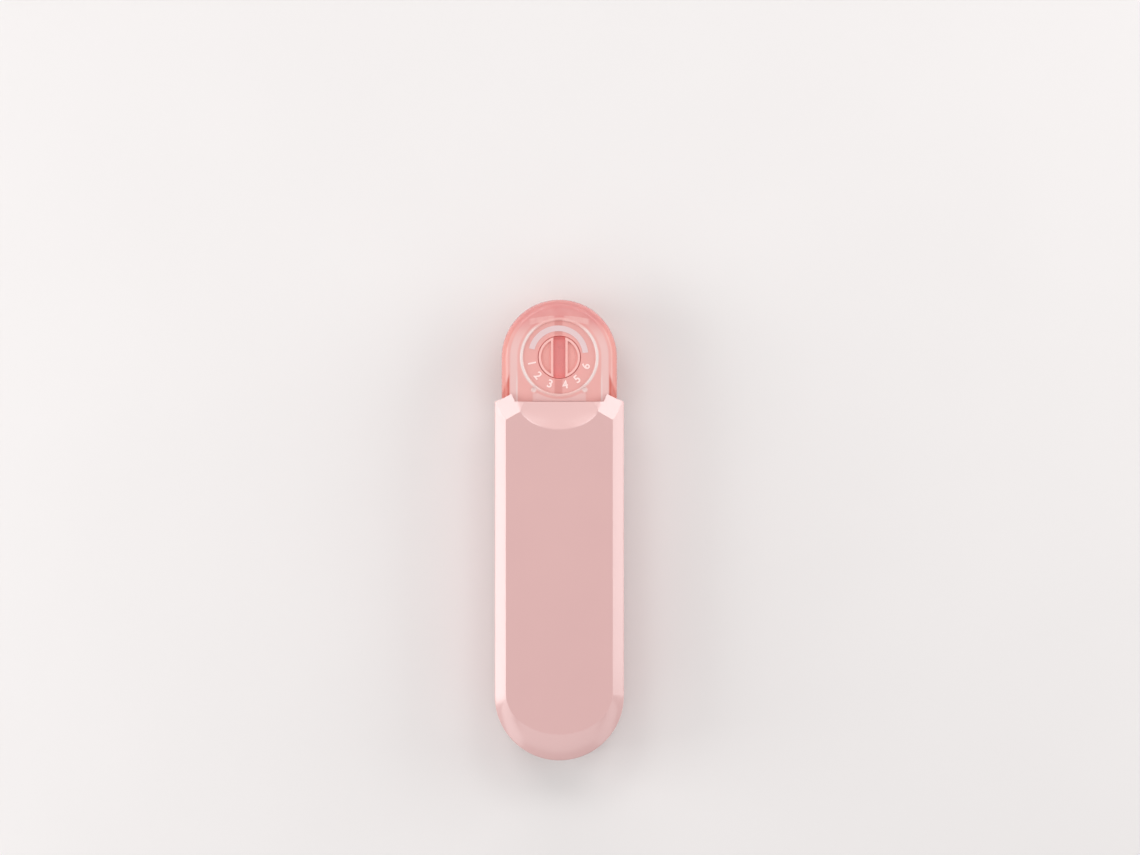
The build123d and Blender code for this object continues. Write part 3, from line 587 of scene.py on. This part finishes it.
def add_arc():
    centre = (DIAL_X + ARC_SHIFT[0], DIAL_Y + ARC_SHIFT[1], DIAL_FLOOR + INK / 2)
    bpy.ops.object.select_all(action="DESELECT")
    bpy.ops.mesh.primitive_circle_add(vertices=ARC_STEPS, radius=ARC_INNER, location=centre)
    arc = bpy.context.object
    bpy.ops.object.mode_set(mode="EDIT")
    bpy.ops.mesh.select_all(action="SELECT")
    bpy.ops.mesh.extrude_edges_move()
    grow = ARC_OUTER / ARC_INNER
    bpy.ops.transform.resize(value=(grow, grow, 1), center_override=centre)
    bpy.ops.mesh.select_all(action="DESELECT")
    bpy.ops.object.mode_set(mode="OBJECT")
    for face in arc.data.polygons:
        face.select = not ARC_FROM < math.atan2(face.center.y, face.center.x) < ARC_TO
    bpy.ops.object.mode_set(mode="EDIT")
    bpy.ops.mesh.select_mode(type="FACE")
    bpy.ops.mesh.delete(type="FACE")
    bpy.ops.object.mode_set(mode="OBJECT")
    wall = arc.modifiers.new("ink", "SOLIDIFY")
    wall.thickness = INK
    wall.offset = 0
    bpy.ops.object.modifier_apply(modifier=wall.name)
    settle(arc, "dial_arc", plain_finish("dial_ink", (229, 201, 202), (225, 197, 198), 0.45))
    print("arc faces:", len(arc.data.polygons))


add_arc()

# %% [markdown]
# ## Numbers on the dial
# Small figures stand round the lower half of the dial, each with its head towards the shaft. Text is a
# curve, so each figure is turned into a mesh before its place is applied. Their doubles are merged and
# their normals recalculated, because a filled curve is made in three loose layers.

# %% The numbers
DIGIT_RADIUS = 5.05 * MM
DIGIT_SIZE = 2.0 * MM
DIGIT_ANGLES = (-168, -139.5, -109.5, -78, -50.7, -18.4)
DIGIT_RISE = 0.04 * MM
DIGIT_THICKEN = 0.05 * MM
DIGIT_CURVE_STEPS = 4
MERGE = 0.001 * MM


def add_digit(number, angle, material):
    x = DIAL_X + DIGIT_RADIUS * math.cos(angle)
    y = DIAL_Y + DIGIT_RADIUS * math.sin(angle)
    bpy.ops.object.select_all(action="DESELECT")
    bpy.ops.object.text_add(location=(x, y, DIAL_FLOOR), rotation=(0, 0, angle + math.pi / 2))
    digit = bpy.context.object
    digit.data.body = str(number)
    digit.data.size = DIGIT_SIZE
    digit.data.align_x = "CENTER"
    digit.data.align_y = "CENTER"
    digit.data.extrude = DIGIT_RISE
    digit.data.resolution_u = DIGIT_CURVE_STEPS
    digit.data.offset = DIGIT_THICKEN
    bpy.ops.object.convert(target="MESH")
    digit = bpy.context.object
    bpy.ops.object.mode_set(mode="EDIT")
    bpy.ops.mesh.select_all(action="SELECT")
    bpy.ops.mesh.remove_doubles(threshold=MERGE)
    bpy.ops.mesh.normals_make_consistent(inside=False)
    bpy.ops.object.mode_set(mode="OBJECT")
    settle(digit, f"dial_number_{number}", material)


number_finish = plain_finish("dial_number_plastic", (254, 225, 221), (252, 220, 216), 0.3)
for number, angle in enumerate(DIGIT_ANGLES, start=1):
    add_digit(number, math.radians(angle), number_finish)
print("numbers on the dial:", len(DIGIT_ANGLES))

# %% [markdown]
# ## Table
# The roller rests on a pale, matt table. The table lies a hair below it, so that the two faces never fight
# for the same place.

# %% Table
TABLE_HALF = 0.6
TABLE_DROP = 0.02 * MM


def add_table():
    bpy.ops.object.select_all(action="DESELECT")
    bpy.ops.mesh.primitive_plane_add(size=2 * TABLE_HALF, location=(0, 0, 0))
    table = bpy.context.object
    table.name = "table_top"
    finish = Finish("table_paint", roughness=0.7)
    finish.feed("Base Color", finish.mix(finish.noise(30.0), linear(237, 233, 232), linear(234, 230, 229)))
    table.data.materials.append(finish.material)
    table.location.z = -TABLE_DROP
    print("table side (m):", 2 * TABLE_HALF)


add_table()

# %% [markdown]
# ## Soft boxes
# A polished bevel mirrors whatever stands across from it, so each lamp is a large soft box that has one
# bevel or face to serve. The left and right boxes draw the bright line down the sleeve's long edges. The
# right one spreads the same power over more area, so its line is duller. The two beside the foot and the
# one over it light the round end. The one at the head lights the crown, and the last two are mirrored in
# the slanting shoulders beside the mouth.

# %% Lamps
# Each row: name, place and size in metres, power in watts, and the point that the lamp faces
MIDDLE = (0, 0, 0)
LAMPS = [
    ("soft_box_left", (-0.40, 0, 0.175), (0.24, 0.31), 0.80, MIDDLE),
    ("soft_box_right", (0.40, 0.12, 0.175), (0.36, 0.31), 0.80, (0, 0.12, 0)),
    ("soft_box_foot_left", (-0.29, -0.24, 0.28), (0.26, 0.20), 0.23, MIDDLE),
    ("soft_box_foot_right", (0.29, -0.24, 0.28), (0.26, 0.20), 0.13, MIDDLE),
    ("soft_box_head", (0, 0.44, 0.20), (0.50, 0.26), 0.34, MIDDLE),
    ("soft_box_foot", (0, -0.30, 0.46), (0.40, 0.20), 0.18, MIDDLE),
    ("soft_box_corner", (-0.14, 0.24, 0.42), (0.16, 0.14), 0.28, MIDDLE),
    ("soft_box_corner", (0.14, 0.24, 0.42), (0.16, 0.14), 0.28, MIDDLE),
]


def add_lamp(name, place, size, power, aim):
    data = bpy.data.lights.new(name, "AREA")
    data.shape = "RECTANGLE"
    data.size, data.size_y = size
    data.energy = power
    lamp = bpy.data.objects.new(name, data)
    lamp.location = place
    direction = Vector(aim) - Vector(place)
    lamp.rotation_euler = direction.to_track_quat("-Z", "Y").to_euler()
    bpy.context.scene.collection.objects.link(lamp)


for lamp_row in LAMPS:
    add_lamp(*lamp_row)
print("soft boxes:", len(LAMPS))

# %% [markdown]
# ## The room
# A white room fills the shadows evenly from all round. It is kept weak, so that the soft boxes still
# model the bevels.

# %% White room
ROOM_COLOUR = (1, 1, 1, 1)
ROOM_STRENGTH = 0.40

world = bpy.data.worlds.new("studio")
world.use_nodes = True
bpy.context.scene.world = world
world.node_tree.nodes["Background"].inputs["Color"].default_value = ROOM_COLOUR
world.node_tree.nodes["Background"].inputs["Strength"].default_value = ROOM_STRENGTH
print("room strength:", ROOM_STRENGTH)
